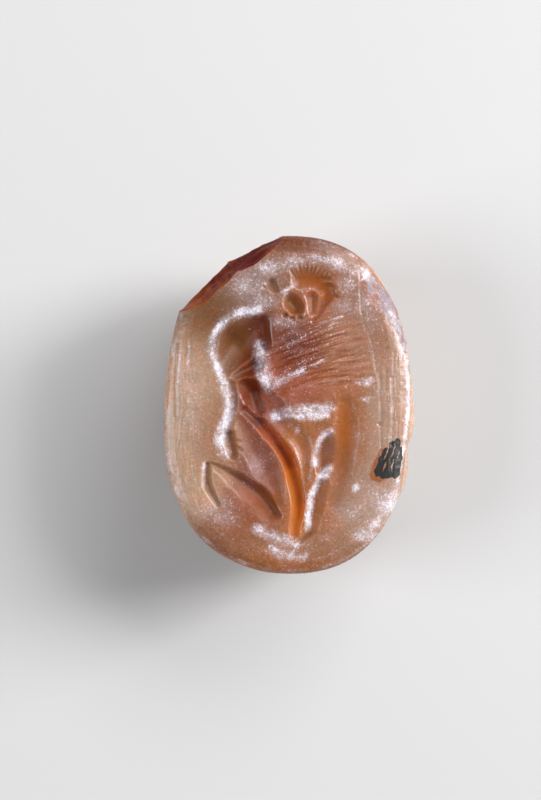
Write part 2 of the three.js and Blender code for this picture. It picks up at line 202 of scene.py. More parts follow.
LEGS = [
    stroke(
        [(-2.1, -0.15), (-1.25, -0.95), (-0.37, -2.0), (0.23, -3.25), (0.5, -4.75), (0.33, -6.3)],
        [0.32, 0.44, 0.44, 0.42, 0.36, 0.28],
        [0.3, 0.54, 0.6, 0.56, 0.48, 0.26],
        soft=1.3,
    ),
    stroke(
        [(-2.35, -0.65), (-1.6, -1.85), (-0.9, -3.1), (-0.4, -4.7)],
        [0.6, 1.15, 1.15, 0.6],
        [0.12, 0.34, 0.34, 0.1],
        soft=3,
    ),
    stroke(
        [(-3.85, -2.9), (-2.8, -3.75), (-1.65, -4.75), (-1.0, -5.45)],
        [0.24, 0.66, 1.02, 0.72],
        [0.15, 0.34, 0.5, 0.42],
        lean=0.5,
        soft=2.8,
    ),
    stroke([(-4.0, -2.9), (-4.0, -3.85), (-3.45, -4.85)], [0.22, 0.3, 0.18], [0.25, 0.34, 0.16], soft=1.5),
    stroke(
        [(2.1, -1.5), (1.98, -2.25), (1.85, -3.05)],
        [0.42, 0.74, 0.5],
        [0.24, 0.46, 0.32],
        lean=-0.3,
        soft=1.8,
    ),
    stroke(
        [(1.8, -3.8), (1.55, -4.75), (1.25, -6.1)],
        [0.42, 0.56, 0.34],
        [0.3, 0.4, 0.2],
        lean=-0.3,
        soft=1.7,
    ),
    stroke([(1.1, -6.3), (0.6, -6.75)], [0.2, 0.16], [0.22, 0.16], soft=1.5),
    stroke(
        [(2.9, 0.1), (2.95, -1.2), (2.7, -3.2), (2.2, -4.8)],
        [0.6, 0.85, 0.75, 0.5],
        [0.1, 0.2, 0.18, 0.08],
        soft=2,
    ),
    stroke([(0.35, -1.2), (0.85, -2.2), (0.9, -3.6)], [0.6, 0.55, 0.3], [0.16, 0.18, 0.08], soft=2),
]
SOFT_WING = [
    stroke([(-0.2, 1.7), (1.8, 2.5), (3.5, 2.8)], [0.9, 1.45, 1.6], [0.16, 0.13, 0.07], soft=2),
]

# A bowed head of simple make, with even steps for nose, lips and chin, an ear and locks of hair
HEAD_X = 0.88
HEAD_Y = 5.4
FACE_RADIUS = 0.58


def around(x, y, radius, degrees):
    return (x + radius * math.cos(math.radians(degrees)), y + radius * math.sin(math.radians(degrees)))


def pit(x, y, radius, depth):
    return stroke([(x - 0.05, y), (x + 0.05, y)], radius, depth, per_span=3)


def head():
    x, y = HEAD_X - FACE_RADIUS, HEAD_Y - FACE_RADIUS / 2
    face = stroke([(x - 0.1, y + 0.14), (x + 0.1, y - 0.1)], [0.52, 0.48], [0.36, 0.4], soft=1.5)
    steps = [pit(*around(x, y, FACE_RADIUS * 1.1, a), FACE_RADIUS * 0.24, 0.16) for a in (-135, -100, -65)]
    ear_line = [(HEAD_X + 0.36, HEAD_Y + 0.1), (HEAD_X + 0.38, HEAD_Y - 0.55)]
    ear = stroke(ear_line, [0.4, 0.32], [0.26, 0.2], soft=1.5)
    return [face, ear, *steps]


def hair():
    """A cap of hair with a toothed edge, pointed locks behind and a tail down the neck."""
    cap = stroke([(0.72, 6.4), (1.4, 6.3)], [0.6, 0.6], [0.2, 0.24], soft=1.3)
    tail = [(1.5, 6.15), (1.98, 5.75), (1.72, 5.1), (1.25, 4.3)]
    behind = stroke(tail, [0.5, 0.46, 0.28, 0.12], [0.22, 0.24, 0.2, 0.1])
    teeth = []
    for k in range(10):
        a = 124 - 8.5 * k + rng.uniform(-1, 1)
        path = [around(1.0, 5.6, 1.05, a), around(1.0, 5.6, rng.uniform(1.45, 1.58), a)]
        teeth.append(stroke(path, [0.09, 0.1], [0.21, 0.08], soft=1.6))
    locks = [
        stroke([(1.75, 6.45), (2.2, 6.5)], [0.22, 0.04], [0.22, 0.1]),
        stroke([(1.95, 6.05), (2.45, 6.0)], [0.24, 0.05], [0.22, 0.1]),
        stroke([(2.0, 5.7), (2.6, 5.48)], [0.24, 0.05], [0.22, 0.1]),
    ]
    return [cap, behind, *teeth, *locks]


def raised_hand():
    x, y, radius = -0.7, 5.9, 0.34
    palm = stroke([(x - 0.1, y + 0.28), (x + 0.08, y)], [radius, 0.26], [0.26, 0.2], soft=1.8)
    tips = [
        stroke([around(x, y, 0.3, a), around(x, y, 0.55, a)], 0.08, 0.1, soft=1.8)
        for a in (75, 105, 135, 165)
    ]
    return [palm, *tips]


# The wing's feathers fan out from the shoulder, each a shallow cut with finer barbs along it
FEATHERS = 10
WING_ROOT = ((0.1, 2.75), (-0.7, 0.45))
WING_TIP = ((3.6, 4.5), (4.35, 1.2))
WING_RISE = 0.32


def feather_path(t):
    mix = lambda ends: tuple(a + (b - a) * t for a, b in zip(*ends))
    root = mix(WING_ROOT)
    tip = mix(WING_TIP)
    return [root, ((root[0] + tip[0]) / 2, (root[1] + tip[1]) / 2 + WING_RISE), tip]


def wing():
    return [
        stroke(feather_path(k / (FEATHERS - 1)), [0.12, 0.16, 0.14], [0.1, 0.06, 0.02], soft=1.8)
        for k in range(FEATHERS)
    ]


def along_wing(count, first, last):
    """Short lines that follow the feathers, each at its own place across and along the wing."""
    out = []
    for k in range(count):
        t = (k + rng.uniform(0, 1)) / count
        line = curve(feather_path(t), 20)
        line[:, 1] += np.linspace(0, rng.uniform(-0.12, 0.12), len(line))
        begin = int(rng.integers(*first))
        end = int(rng.integers(*last))
        out.append([tuple(p) for p in line[begin:end:4]])
    return out


def barbs():
    """Fine lines between and along the feathers."""
    paths = along_wing(56, (0, 16), (22, 40))
    return [stroke(p, rng.uniform(0.04, 0.07), rng.uniform(0.015, 0.06), per_span=3) for p in paths]


def ridge_wear_and_highlights():
    """Bright lines on the ridges between the feathers: worn lines with painted highlight."""
    paths = along_wing(34, (0, 22), (26, 38))
    return [(p, rng.uniform(0.04, 0.07), rng.uniform(0.25, 0.6)) for p in paths if len(p) > 1]


# The border line that runs inside the rim, in pieces, and a tiny round pit on it
def border():
    right = [(3.6, 7.3), (3.65, 5.6), (3.72, 4.6), (3.98, 3.6)]
    right += [(4.25, 2.6), (4.45, 1.8), (4.62, 0.9), (4.7, -2.3)]
    second = [(5.2, 1.5), (5.25, 0.2), (5.2, -1.9)]
    left = [(-5.5, 3.2), (-5.62, 1.4), (-5.6, -0.4)]
    left_in = [(-5.0, 3.0), (-5.12, 1.8), (-5.1, 0.6)]
    low = [(-5.2, -5.2), (-4.1, -6.6), (-2.7, -7.5), (-1.2, -7.95)]
    return [
        stroke(right, 0.11, 0.035, soft=1.6),
        stroke(second, 0.1, 0.06),
        stroke(left, 0.09, 0.04),
        stroke(left_in, 0.07, 0.03),
        stroke(low, 0.1, 0.04),
        pit(4.65, -0.83, 0.15, 0.08),
    ]


# Where a number was inked on the rim: a dense block of slanting strokes with thin gaps left between
INK_STROKES = [
    ([(4.92, -2.1), (4.72, -2.7), (4.5, -3.3)], [0.14, 0.26, 0.22]),
    ([(5.2, -1.9), (5.06, -2.4), (4.86, -2.9), (4.72, -3.4)], [0.2, 0.28, 0.3, 0.2]),
    ([(5.5, -1.72), (5.34, -2.2), (5.2, -2.7), (5.12, -3.35)], [0.16, 0.26, 0.28, 0.26]),
    ([(5.66, -2.1), (5.56, -2.6), (5.42, -3.35)], [0.14, 0.2, 0.22]),
    ([(4.6, -3.12), (5.0, -3.28), (5.4, -3.3)], [0.2, 0.24, 0.2]),
]
INK_GAPS = [
    ([(5.02, -1.98), (4.9, -2.36), (4.78, -2.66)], [0.06, 0.05, 0.02]),
    ([(4.94, -2.72), (4.82, -3.0), (4.74, -3.2)], [0.03, 0.06, 0.03]),
    ([(5.34, -1.9), (5.24, -2.3), (5.12, -2.62)], [0.05, 0.04, 0.02]),
    ([(5.3, -2.6), (5.22, -2.9), (5.16, -3.2)], [0.02, 0.05, 0.03]),
    ([(5.54, -2.2), (5.46, -2.6)], [0.04, 0.02]),
]


def ink_cover(x, y):
    x = x + 0.05 * noise(x, y, 0.2, 81)
    y = y + 0.09 * noise(x, y, 0.2, 82)
    cover = np.zeros_like(x)
    for path, half in INK_STROKES:
        cover = np.maximum(cover, sweep(x, y, stroke(path, half, 1.0, round=4.0)))
    for path, half in INK_GAPS:
        cover = cover * (1 - 0.9 * sweep(x, y, stroke(path, half, 1.0, round=3.0)))
    return cover


def ink_halo(x, y):
    """A brown stain that has run out to the left and below the ink."""
    cover = np.zeros_like(x)
    for path, half in INK_STROKES:
        wide = [w + 0.1 for w in half]
        cover = np.maximum(cover, sweep(x + 0.16, y + 0.12, stroke(path, wide, 1.0, round=3.0)))
    return cover * np.clip((5.1 - x) / 0.5, 0.1, 1)


def scratches():
    out = []
    for side in (-1, 1):
        for _ in range(26):
            x = side * rng.uniform(4.5, 5.8)
            y = rng.uniform(-4.5, 3.6)
            length = rng.uniform(0.3, 1.4)
            tilt = rng.uniform(-0.12, 0.12)
            ends = [(x, y), (x + tilt * length, y - length)]
            out.append(stroke(ends, 0.04, rng.uniform(0.01, 0.03)))
    for _ in range(40):
        a = rng.uniform(0, 2 * math.pi)
        r = rng.uniform(0.3, 0.95)
        x = r * HALF_WIDTH * math.cos(a)
        y = r * HALF_LENGTH * math.sin(a)
        turn = rng.uniform(0, math.pi)
        length = rng.uniform(0.2, 0.9)
        ends = [(x, y), (x + length * math.cos(turn), y + length * math.sin(turn))]
        out.append(stroke(ends, 0.035, rng.uniform(0.006, 0.018)))
    return out


BODY = [*TORSO, *ARM, *LEGS]
HEAD = [*head(), *hair(), *raised_hand()]
FINE = [*border(), *scratches()]
BARBS = barbs()


def deepest(x, y, strokes):
    out = np.zeros_like(x)
    for s in strokes:
        out = np.maximum(out, sweep(x, y, s))
    return out


def blended(x, y, strokes, power=5):
    """Like deepest, but where cuts cross they run into each other."""
    out = np.zeros_like(x)
    for s in strokes:
        out += sweep(x, y, s) ** power
    return out ** (1 / power)


def blob(x, y, at, radius):
    return np.exp(-(((x - at[0]) / radius[0]) ** 2 + ((y - at[1]) / radius[1]) ** 2))


# Where the pale, frosted weathering sits, with painted highlights on the walls, ridges and edges that face
# the light: lines with a half width and a strength, and patches
BACK_OF_FIGURE = [
    *[(-1.5, 4.9), (-2.4, 4.72), (-3.05, 4.38), (-3.62, 3.78)],
    *[(-3.8, 2.98), (-3.6, 2.18), (-3.28, 1.38), (-3.05, 0.5)],
]
FROST_AND_HIGHLIGHT_LINES = [
    # The wall behind the figure and the belly's ridge catch the light: painted highlight over pale residue
    (BACK_OF_FIGURE, 0.42, 1.0),
    ([(-3.0, 0.6), (-2.98, -0.2), (-3.22, -0.95), (-3.36, -1.6), (-3.24, -2.2)], 0.5, 1.0),
    ([(-1.42, 3.05), (-1.36, 2.1), (-1.05, 1.15)], 0.7, 1.0),
    ([(-0.6, -0.4), (0.5, -0.18), (2.1, 0.02)], 0.46, 1.0),
    ([(0.2, -0.45), (1.1, -0.4), (1.9, -0.36)], [0.3, 0.45, 0.36], 0.95),
    # The right leg's walls that face the light: painted highlight
    ([(2.2, -1.2), (1.7, -1.5), (1.42, -2.1), (1.35, -2.8)], 0.32, 0.9),
    ([(2.05, -3.0), (1.7, -3.4), (1.35, -4.1), (1.08, -5.0), (1.02, -6.0)], 0.34, 0.95),
    # The foot's wall that faces the light: painted highlight
    ([(-4.2, -2.8), (-4.22, -3.9)], 0.16, 0.85),
    ([(-0.32, 5.75), (0.1, 5.98), (0.6, 6.3)], 0.17, 0.95),
    ([(0.62, 5.85), (1.05, 5.98), (1.42, 5.85), (1.78, 5.48)], 0.09, 0.85),
    ([(0.75, 5.75), (0.84, 5.45)], 0.1, 0.7),
    ([(0.95, 4.95), (0.85, 4.6)], 0.12, 0.6),
    ([(-0.75, 1.15), (0.0, 1.5), (0.75, 1.9)], 0.4, 0.9),
    ([(1.1, 2.0), (1.6, 2.3), (1.95, 2.5)], 0.13, 0.9),
    ([(1.6, 4.2), (2.3, 4.42), (2.75, 4.6)], 0.12, 0.85),
    ([(0.6, 3.45), (1.6, 3.95), (2.6, 4.25)], 0.1, 0.6),
    ([(-1.5, -6.1), (-0.6, -6.5), (0.4, -6.85)], 0.5, 0.8),
    ([(-0.8, -7.15), (0.0, -7.38), (0.9, -7.4)], 0.46, 0.9),
    ([(-1.3, 6.9), (0.3, 7.35), (1.7, 7.4), (3.2, 6.9)], 0.7, 0.72),
    ([(3.75, 6.9), (4.5, 5.85), (5.1, 4.85), (5.55, 3.7), (5.85, 2.8)], 0.6, 0.85),
    # The right rim's bevel: painted highlight
    ([(5.98, 2.3), (6.04, 0.5), (5.97, -0.8), (5.78, -2.2), (5.55, -3.4)], 0.2, 1.0),
    ([(5.5, -3.6), (5.0, -4.9), (4.2, -6.1)], 0.45, 0.75),
    ([(3.62, 7.3), (3.67, 5.6), (3.74, 4.6), (4.0, 3.6), (4.28, 2.6), (4.5, 1.7), (4.7, 0.6)], 0.08, 0.6),
    ([(5.2, 2.2), (5.25, -1.6)], 0.16, 0.55),
    ([(-5.4, 3.1), (-5.5, 1.4), (-5.5, 0.2)], 0.13, 0.7),
    ([(-4.95, 3.3), (-5.0, 1.9)], 0.14, 0.7),
    # The thigh channel's two edges: painted highlight lines
    ([(-2.4, -0.2), (-1.5, -1.2), (-0.75, -2.1), (-0.25, -3.3)], 0.09, 0.35),
    ([(0.3, -2.6), (0.68, -3.7), (0.8, -4.9)], 0.07, 0.7),
    ([(-2.85, 1.93), (-2.35, 2.43), (-1.85, 2.78), (-1.55, 2.98)], 0.06, 0.6),
    ([(-2.75, 1.28), (-2.35, 1.58), (-1.95, 1.68), (-1.55, 1.68)], 0.06, 0.5),
]
FROST_PATCHES = [
    ((-1.95, 6.1), (1.3, 1.15), 0.54),
    ((-1.2, 6.8), (1.1, 0.5), 0.55),
    ((-1.3, 5.3), (1.3, 0.6), 0.57),
    ((-0.25, 5.5), (0.3, 0.6), 0.62),
    ((0.0, -7.0), (1.6, 0.6), 0.55),
    ((3.0, -5.2), (1.0, 0.8), 0.5),
    ((1.9, -6.6), (0.7, 0.4), 0.4),
    ((2.9, 6.2), (0.8, 0.9), 0.6),
    ((3.8, 5.2), (0.9, 1.3), 0.55),
    ((-0.1, 4.25), (1.2, 0.5), 0.62),
    ((0.2, 3.2), (1.2, 1.3), 0.42),
    ((0.6, 1.6), (1.2, 0.6), 0.3),
    ((2.8, 5.0), (1.0, 0.7), 0.5),
    ((-2.9, 0.15), (0.34, 0.5), 0.85),
    ((1.8, 1.3), (1.6, 1.0), 0.27),
    ((-0.1, -0.9), (0.9, 0.6), 0.35),
    ((0.4, -1.1), (0.25, 0.4), 0.6),
    ((1.75, -3.4), (0.28, 0.32), 0.95),
    ((3.9, 1.3), (0.55, 0.32), 0.8),
    ((3.8, 0.35), (0.45, 0.22), 0.7),
    ((3.6, -1.5), (0.35, 0.7), 0.5),
    ((3.43, -4.0), (0.26, 0.26), 1.0),
    ((5.0, -4.9), (0.9, 1.1), 0.85),
    ((3.9, -6.4), (0.9, 0.6), 0.78),
    ((2.6, -4.6), (0.7, 0.7), 0.3),
    ((-4.9, 0.0), (1.3, 4.0), 0.42),
    ((-3.3, -5.2), (1.4, 1.2), 0.55),
    ((-3.05, -2.4), (0.22, 0.22), 0.95),
    ((-1.5, -2.8), (0.9, 1.3), 0.36),
    ((4.2, 4.6), (0.9, 1.5), 0.5),
    ((3.4, 6.7), (0.8, 0.7), 0.5),
    ((4.4, -5.0), (1.2, 1.8), 0.5),
    ((0.7, -2.6), (0.7, 1.2), 0.3),
    ((5.1, 0.3), (1.0, 2.6), 0.3),
]
FROST_FREE = [
    ((-4.5, 4.6), (1.0, 1.0), 1.0),
    ((-0.75, 6.0), (0.3, 0.28), 0.5),
    ((-2.4, 3.2), (0.9, 0.9), 0.8),
    ((-1.8, 1.2), (0.6, 1.2), 0.9),
    ((-1.2, 3.7), (0.35, 0.7), 0.8),
    ((0.0, 8.35), (2.4, 0.55), 1.0),
    ((2.7, -1.6), (0.35, 1.6), 0.7),
    ((-1.4, -4.9), (0.9, 0.6), 0.6),
    ((0.1, -3.0), (0.3, 1.0), 0.6),
    ((0.5, -4.9), (0.25, 1.3), 0.9),
    ((1.1, 6.45), (0.8, 0.5), 0.95),
    ((2.0, 5.8), (0.5, 0.5), 0.9),
    ((0.25, 5.1), (0.5, 0.45), 0.8),
]
FROST_EVERYWHERE = 0.25
RIDGE_WEAR_AND_HIGHLIGHTS = ridge_wear_and_highlights()


def frost_and_highlight_at(x, y):
    """How much pale weathering and painted highlight there is, 0 to 1."""
    ragged = 1.0 + 0.2 * noise(x, y, 0.45, 75) + 0.22 * noise(x, y, 0.15, 76)
    loose_x = x + 0.12 * noise(x, y, 0.5, 71) + 0.06 * noise(x, y, 0.16, 72)
    loose_y = y + 0.12 * noise(x, y, 0.5, 73) + 0.06 * noise(x, y, 0.16, 74)
    x = x + 0.03 * noise(x, y, 0.3, 77)
    y = y + 0.03 * noise(x, y, 0.3, 78)
    out = np.full_like(x, FROST_EVERYWHERE)
    for path, half, strength in FROST_AND_HIGHLIGHT_LINES:
        line = stroke(path, half, 1.0, round=1.3)
        line["half"] = [1.15 * w for w in line["half"]]
        out = np.maximum(out, strength * ragged * sweep(x, y, line))
    for at, radius, strength in FROST_PATCHES:
        out = np.maximum(out, strength * blob(loose_x, loose_y, at, radius))
    for at, radius, strength in FROST_FREE:
        out = out * (1 - strength * np.minimum(1, 1.3 * blob(x, y, at, radius)))
    # The first three lines go on again, narrower, after the clear places; they hold the painted highlights on
    # the wall behind the figure and the belly's ridge
    for path, half, strength in FROST_AND_HIGHLIGHT_LINES[:3]:
        line = stroke(path, 0.75 * half, 1.0, round=1.4)
        out = np.maximum(out, strength * ragged * sweep(x, y, line))
    for path, half, strength in RIDGE_WEAR_AND_HIGHLIGHTS:
        out = np.maximum(out, strength * sweep(x, y, stroke(path, half, 1.0, round=1.6, per_span=3)))
    return np.clip(out, 0, 1)


def rim_wear_and_highlight(x, y, inset):
    """Sparkling wear with a painted highlight along the rim's bevel, and faint rings that run along it at the
    foot of the stone.
    """
    angle = np.degrees(np.arctan2(y, x)) % 360
    chatter = np.clip(0.6 + 0.6 * noise(angle / 4, inset, 1.0, 61), 0, 1)
    chatter = chatter * (1 - np.exp(-(((angle - 106) / 30) ** 4)))
    rim = np.exp(-(((inset - 0.2) / 0.13) ** 2)) * chatter
    rings = np.zeros_like(inset)
    for at, middle in ((0.55, 215), (0.9, 232), (1.35, 222), (1.8, 238), (0.75, 290)):
        near = np.exp(-(((inset - at - 0.06 * noise(angle, angle, 6, 62)) / 0.06) ** 2))
        rings = np.maximum(rings, near * np.exp(-(((angle - middle) / 22) ** 2)))
    return np.maximum(0.8 * rim, 0.55 * rings)


def face_depth(x, y):
    """How far the finished face lies below the flat plane, without the bevel."""
    wobble_x = x + 0.035 * noise(x, y, 0.7, 6)
    wobble_y = y + FIGURE_DOWN + 0.035 * noise(x, y, 0.6, 7)
    deep = np.maximum(blended(wobble_x, wobble_y, BODY), deepest(wobble_x, wobble_y, HEAD))
    soft = deepest(wobble_x, wobble_y, SOFT_WING)
    feathers = deepest(wobble_x, wobble_y, wing())
    fine = deepest(x, y + FIGURE_DOWN, FINE)
    lines = deepest(x, y + FIGURE_DOWN, BARBS)
    feathers = feathers * np.clip(0.8 + 0.7 * noise(x, y, 1.2, 8), 0.1, 1.4)
    cut = np.maximum(deep, feathers + 0.5 * soft)
    open_ground = np.clip(1 - deep / 0.15, 0, 1)
    rough = 0.006 * noise(x, y, 0.16, 1) + 0.006 * noise(x, y, 0.35, 2) + 0.02 * noise(x, y, 1.4, 9)
    grain = np.clip(frost_and_highlight_at(x, y + FIGURE_DOWN) - 0.25, 0, 1)
    crust = grain * (0.03 * noise(x, y, 0.13, 3) + 0.03 * noise(x, y, 0.24, 4))
    wheel = 0.008 * noise(x, y, 0.5, 5) * np.clip(deep / 0.3, 0, 1)
    return cut + open_ground * (fine + lines) + rough * (0.3 + 0.7 * open_ground) + crust + wheel


def bevel_drop(inset):
    return np.interp(inset, BEVEL_INSET, BEVEL_DROP)


def back_height(x, y):
    angle = np.arctan2(y, x)
    rim = rim_of_back(angle)
    near = np.minimum(1, np.hypot(x, y) / rim)
    shifted = y + CROWN_BACK * (1 - near * near)
    reach = rim_of_back(np.arctan2(shifted, x))
    share = np.minimum(1, np.hypot(x, shifted) / reach)
    return DOME_TOP - (DOME_TOP + CROWN_BELOW) * (1 - share**DOME_ROUND) ** (1 / DOME_ROUND)


# The lines on the beetle's back
THORAX_Y = 2.1
NECK_Y = 5.3


def back_lines():
    thorax = [(x, THORAX_Y + 0.045 * x * x * (1 - 0.02 * x * x)) for x in np.linspace(-5.5, 5.5, 13)]
    neck = [(x, NECK_Y + 0.1 * x * x * (1 - 0.045 * x * x)) for x in np.linspace(-3.6, 3.6, 9)]
    out = [
        stroke([(0, -7.6), (0, THORAX_Y)], 0.2, 0.17, per_span=90),
        stroke(thorax, 0.26, 0.22),
        stroke(neck, 0.26, 0.24),
    ]
    for way in (-1, 1):
        out.append(stroke([(2.4 * way, 1.95), (2.9 * way, 1.2), (3.5 * way, 2.05)], 0.17, 0.14))
        out.append(stroke([(2.0 * way, 5.8), (1.5 * way, 6.7), (1.2 * way, 7.6)], 0.24, 0.28))
    return out


def oval_grid(cells):
    """A square grid wrapped to a disc: share of the way out, angle and the grid's outer loop."""
    a = np.linspace(-1, 1, cells + 1)
    u, v = np.meshgrid(a, a, indexing="ij")
    wide = np.abs(u) >= np.abs(v)
    first = np.where(wide, u, v)
    safe = np.where(first == 0, 1, first)
    turn = np.where(wide, (np.pi / 4) * v / safe, np.pi / 2 - (np.pi / 4) * u / safe)
    angle = np.where(first < 0, turn + np.pi, turn)
    number = np.arange((cells + 1) ** 2).reshape(cells + 1, cells + 1)
    half = cells // 2
    loop = np.concatenate([
        number[cells, half:cells],
        number[cells:0:-1, cells],
        number[0, cells:0:-1],
        number[0:cells, 0],
        number[cells, 0:half],
    ])
    quads = np.stack([number[:-1, :-1], number[1:, :-1], number[1:, 1:], number[:-1, 1:]], -1).reshape(-1, 4)
    return np.abs(first).ravel(), angle.ravel(), loop, quads


def polar(angle, radius, z):
    return np.stack([radius * np.cos(angle), radius * np.sin(angle), np.broadcast_to(z, angle.shape)], -1)


def side_wear(angle, z):
    """Small hand-made unevenness of the rim and sides."""
    degrees = np.degrees(angle)
    return 0.02 * noise(degrees / 9, z, 1.0, 21) + 0.008 * noise(degrees / 2.5, z, 0.4, 22)


def stone_mesh():
    share, angle, face_loop, face_quads = oval_grid(FACE_CELLS)
    edge = edge_at(angle)
    radius = share * (edge - BEVEL_INSET[0])
    x = radius * np.cos(angle)
    y = radius * np.sin(angle)
    inset = edge - radius
    cut = face_depth(x, y) * np.clip(inset / 0.12 - 0.2, 0, 1)
    face = np.stack([x, y, HEIGHT - bevel_drop(inset) - cut], -1)

    turn = 2 * np.pi * np.arange(SECTORS) / SECTORS
    drops = np.linspace(SIDE_DROP[0], SIDE_DROP[-1], SIDE_ROWS + 1)[1:]
    rows = []
    for drop in drops[:-1]:
        inset_here = np.interp(drop, SIDE_DROP, SIDE_INSET)
        inset_here = inset_here + narrowing(turn) * np.interp(drop, SIDE_DROP, SIDE_HEAD)
        rows.append(polar(turn, edge_at(turn) - inset_here + side_wear(turn, drop), HEIGHT - drop))

    share, angle, back_loop, back_quads = oval_grid(BACK_CELLS)
    radius = share * rim_of_back(angle)
    x = radius * np.cos(angle)
    y = radius * np.sin(angle)
    step = 0.03
    slope_x = (back_height(x + step, y) - back_height(x - step, y)) / (2 * step)
    slope_y = (back_height(x, y + step) - back_height(x, y - step)) / (2 * step)
    slope_x = np.clip(slope_x, -3, 3)
    slope_y = np.clip(slope_y, -3, 3)
    length = np.sqrt(slope_x**2 + slope_y**2 + 1)
    groove = deepest(x, y, back_lines())
    groove = groove + np.clip(0.012 * noise(x, y, 0.5, 31) + 0.006 * noise(x, y, 0.2, 32), 0, 1)
    groove = groove * np.clip((1 - share) / 0.03, 0, 1)
    low = np.maximum(back_height(x, y), 0)
    back = np.stack([x - slope_x / length * groove, y - slope_y / length * groove, low + groove / length], -1)

    points = [face, *rows, back]
    starts = np.cumsum([0] + [len(p) for p in points])
    faces = [tuple(q) for q in face_quads]
    first_row = starts[1] + np.arange(SECTORS)
    for k in range(SECTORS):
        n = (k + 1) % SECTORS
        f0, f1, f2 = face_loop[2 * k], face_loop[2 * k + 1], face_loop[(2 * k + 2) % (2 * SECTORS)]
        faces += [(f0, first_row[k], f1), (f1, first_row[k], first_row[n]), (f1, first_row[n], f2)]
    loops = [starts[1 + r] + np.arange(SECTORS) for r in range(len(rows))]
    loops.append(starts[len(rows) + 1] + back_loop)
    for upper, lower in zip(loops, loops[1:]):
        for k in range(SECTORS):
            n = (k + 1) % SECTORS
            faces.append((upper[k], lower[k], lower[n], upper[n]))
    faces += [tuple(q[::-1] + starts[len(rows) + 1]) for q in back_quads]
    return np.vstack(points), faces


def new_object(name, points, faces):
    mesh = bpy.data.meshes.new(name)
    mesh.from_pydata(np.asarray(points, float).tolist(), [], [tuple(int(i) for i in f) for f in faces])
    mesh.validate()
    made = bmesh.new()
    made.from_mesh(mesh)
    bmesh.ops.recalc_face_normals(made, faces=made.faces)
    made.to_mesh(mesh)
    made.free()
    thing = bpy.data.objects.new(name, mesh)
    bpy.context.scene.collection.objects.link(thing)
    return thing


def points_of(thing):
    co = np.zeros(len(thing.data.vertices) * 3, np.float32)
    thing.data.vertices.foreach_get("co", co)
    return co.reshape(-1, 3)


def skin(rings):
    """Points and faces of a closed skin through rings of points."""
    count = len(rings[0])
    points = np.vstack([rings[0].mean(0)[None], *rings, rings[-1].mean(0)[None]])
    ring = lambda r, k: 1 + r * count + k % count
    last = len(rings) - 1
    faces = []
    for k in range(count):
        faces.append((0, ring(0, k + 1), ring(0, k)))
        faces.append((len(points) - 1, ring(last, k), ring(last, k + 1)))
        for r in range(last):
            faces.append((ring(r, k), ring(r, k + 1), ring(r + 1, k + 1), ring(r + 1, k)))
    return points, faces


def boolean(thing, other, operation):
    """Joins or cuts with another object, which is then removed."""
    modifier = thing.modifiers.new("cut", "BOOLEAN")
    modifier.operation = operation
    modifier.solver = "MANIFOLD"
    modifier.object = other
    bpy.context.view_layer.update()
    depsgraph = bpy.context.evaluated_depsgraph_get()
    made = bpy.data.meshes.new_from_object(thing.evaluated_get(depsgraph))
    thing.modifiers.clear()
    thing.data = made
    bpy.data.objects.remove(other)


# Six legs folded against the sides
BEETLE_LEGS = [
    dict(at=[42, 30, 44, 62], drop=[3.35, 2.75, 2.2, 2.45], radii=[0.5, 0.5, 0.42, 0.34]),
    dict(at=[14, -8, -22], drop=[3.3, 2.6, 2.25], radii=[0.46, 0.5, 0.36]),
    dict(at=[-22, -36, -60, -74], drop=[3.3, 2.7, 2.25, 2.5], radii=[0.46, 0.5, 0.42, 0.32]),
]
LEG_INSET = 0.42
RIGHT_PROUD = 0.22
LEG_SIDES = 18


def limb(points, radii):
    line = curve(points, 9)
    share = np.linspace(0, 1, len(line))
    wide = np.interp(share, np.linspace(0, 1, len(radii)), radii)
    wide = wide * (1 + 0.05 * np.sin(share * 40))
    tangent = np.gradient(line, axis=0)
    tangent /= np.linalg.norm(tangent, axis=1)[:, None]
    across = np.cross([0, 0, 1], tangent)
    across /= np.linalg.norm(across, axis=1)[:, None]
    up = np.cross(tangent, across)
    turn = 2 * np.pi * np.arange(LEG_SIDES) / LEG_SIDES
    ring = lambda k, past, size: (
        line[k]
        + tangent[k] * past
        + wide[k] * size * (np.cos(turn)[:, None] * across[k] + np.sin(turn)[:, None] * up[k])
    )
    last = len(line) - 1
    ends = [(0.85, 0.3), (0.65, 0.65), (0.35, 0.88)]
    rings = [ring(0, -wide[0] * p, s) for p, s in ends]
    rings += [ring(k, 0, 1) for k in range(len(line))]
    rings += [ring(last, wide[last] * p, s) for p, s in reversed(ends)]
    return skin(rings)


def beetle_legs():
    for mirror, proud in ((False, RIGHT_PROUD), (True, 0)):
        for leg in BEETLE_LEGS:
            angles = np.radians([180 - a if mirror else a for a in leg["at"]])
            inset = LEG_INSET + np.maximum(narrowing(angles), 0) - proud * np.cos(angles) ** 2
            out = edge_at(angles) - inset
            places = polar(angles, out, HEIGHT - np.array(leg["drop"]))
            yield limb(places, leg["radii"])


# Flakes knocked off the rim. Each leaves a slanting wall that faces a plan angle: at the face it stands
# distance less flare from the middle, and it slopes out to distance over the depth run.
LEFT_BREAK = dict(run=1.3, drop=3.0)
RIGHT_BREAK = dict(run=1.25, drop=1.3)
FLAKE_SEEDS = [40, 43, 46, 49]
FLAKES = [
    dict(angle=115.4, distance=7.82, flare=0.7, shift=-1.65, half=1.95, hollow=0, taper=-1, **LEFT_BREAK),
    dict(angle=135.8, distance=7.2, flare=0.65, shift=-1.25, half=1.8, hollow=0.03, taper=1, **LEFT_BREAK),
    dict(angle=37.5, distance=7.5, flare=0.84, shift=1.3, half=1.35, hollow=0.03, taper=0, **RIGHT_BREAK),
    dict(angle=22, distance=6.9, flare=0.55, shift=1.15, half=1.0, hollow=0, taper=0, **RIGHT_BREAK),
]

# A round scoop out of the rim at the upper right
SCOOP_AT = (5.05, 6.75, HEIGHT + 0.25)
SCOOP_RADIUS = 1.35
ROUND_SIDES = 64


